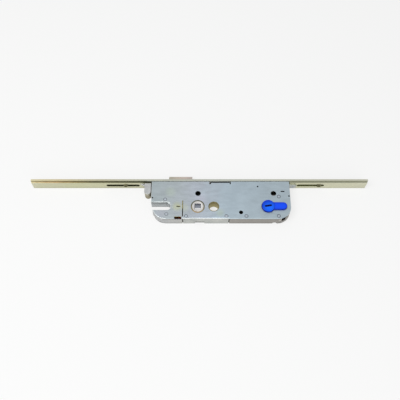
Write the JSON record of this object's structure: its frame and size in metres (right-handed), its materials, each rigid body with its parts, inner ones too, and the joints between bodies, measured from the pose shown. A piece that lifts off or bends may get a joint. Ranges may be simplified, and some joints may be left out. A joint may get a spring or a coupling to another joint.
{
  "type": "multipoint door lock",
  "caption": "Gearbox section of a multipoint door lock: sheet-steel case, faceplate, sliding drive rods, latch, deadbolt, spindle hub and a blue plug in the cylinder's place.",
  "frame": {"origin": "on the spindle axis, halfway through the thickness of the case", "axes": "+X down the door along the faceplate, +Y out of the door's edge through the faceplate, +Z out of the cover along the spindle axis"},
  "size_m": [0.45, 0.0667, 0.018],
  "materials": {
    "zinc_steel": "zinc plated sheet steel",
    "pale_zinc": "yellowish zinc plated bar",
    "warm_steel": "cast and ground bolt metal",
    "brass": "dull brass",
    "dark_steel": "plain steel",
    "blue_plastic": "moulded plastic",
    "deep_blue_plastic": "moulded plastic"
  },
  "bodies": {
    "case": {"case_tray": "zinc_steel", "cover_plate": "zinc_steel", "faceplate": "pale_zinc", "faceplate_rivets": "zinc_steel", "rod_guide_bushes": "brass", "case_rivets": "dark_steel", "cover_rivet": "dark_steel", "detent_spring": "dark_steel", "through_bolt_sleeve": "brass", "hub_bush_top": "brass", "hub_bush_bottom": "brass", "pinion_axle": "dark_steel", "slide_guide_studs": "dark_steel", "latch_spring": "dark_steel", "hub_spring": "dark_steel", "plug_body": "deep_blue_plastic", "cylinder_screw": "zinc_steel"},
    "spindle": {"spindle_hub": "warm_steel"},
    "latch": {"latch_head": "warm_steel", "latch_tail": "zinc_steel", "latch_pin": "dark_steel"},
    "key": {"plug_rotor": "blue_plastic", "plug_cam": "deep_blue_plastic"},
    "lower_drive": {"lower_slide": "zinc_steel", "lower_coupling": "zinc_steel", "lower_rod": "pale_zinc", "lower_drive_rivets": "dark_steel"},
    "upper_drive": {"upper_slide": "zinc_steel", "driver_block": "zinc_steel", "upper_rod": "pale_zinc", "upper_drive_rivets": "dark_steel"},
    "pinion": {"reversing_pinion": "brass"},
    "bolt": {"deadbolt": "warm_steel", "deadbolt_pin": "dark_steel"}
  },
  "joints": [
    {"name": "spindle_turn", "type": "hinge", "parent": "case", "child": "spindle", "pos_m": [0, 0, 0], "axis": [0, 0, 1], "range_deg": [0, 30], "deforming": ["hub_spring"]},
    {"name": "latch_slide", "type": "slide", "parent": "case", "child": "latch", "axis": [0, -1, 0], "range_m": [0, 0.01134], "stiffness_N_per_m": 200, "springref_m": -0.015, "deforming": ["latch_spring"]},
    {"name": "lower_drive_slide", "type": "slide", "parent": "case", "child": "lower_drive", "axis": [1, 0, 0], "range_m": [0, 0.016]},
    {"name": "upper_drive_slide", "type": "slide", "parent": "case", "child": "upper_drive", "axis": [-1, 0, 0], "range_m": [0, 0.016]},
    {"name": "pinion_turn", "type": "hinge", "parent": "case", "child": "pinion", "pos_m": [0.072, 0.021, 0], "axis": [0, 0, 1], "range_deg": [0, 122.3]},
    {"name": "deadbolt_slide", "type": "slide", "parent": "case", "child": "bolt", "axis": [0, 1, 0], "range_m": [0, 0.016]},
    {"name": "key_turn", "type": "hinge", "parent": "case", "child": "key", "pos_m": [0.092, 0, 0], "axis": [0, 0, -1], "range_deg": [0, 73]}
  ],
  "couplings": [
    {"joint": "spindle_turn", "follows": "latch_slide", "rad_per_m": 46.154},
    {"joint": "upper_drive_slide", "follows": "lower_drive_slide", "ratio": 1},
    {"joint": "pinion_turn", "follows": "lower_drive_slide", "rad_per_m": 133.33},
    {"joint": "deadbolt_slide", "follows": "lower_drive_slide", "ratio": 1},
    {"joint": "key_turn", "follows": "lower_drive_slide", "rad_per_m": 79.284}
  ]
}
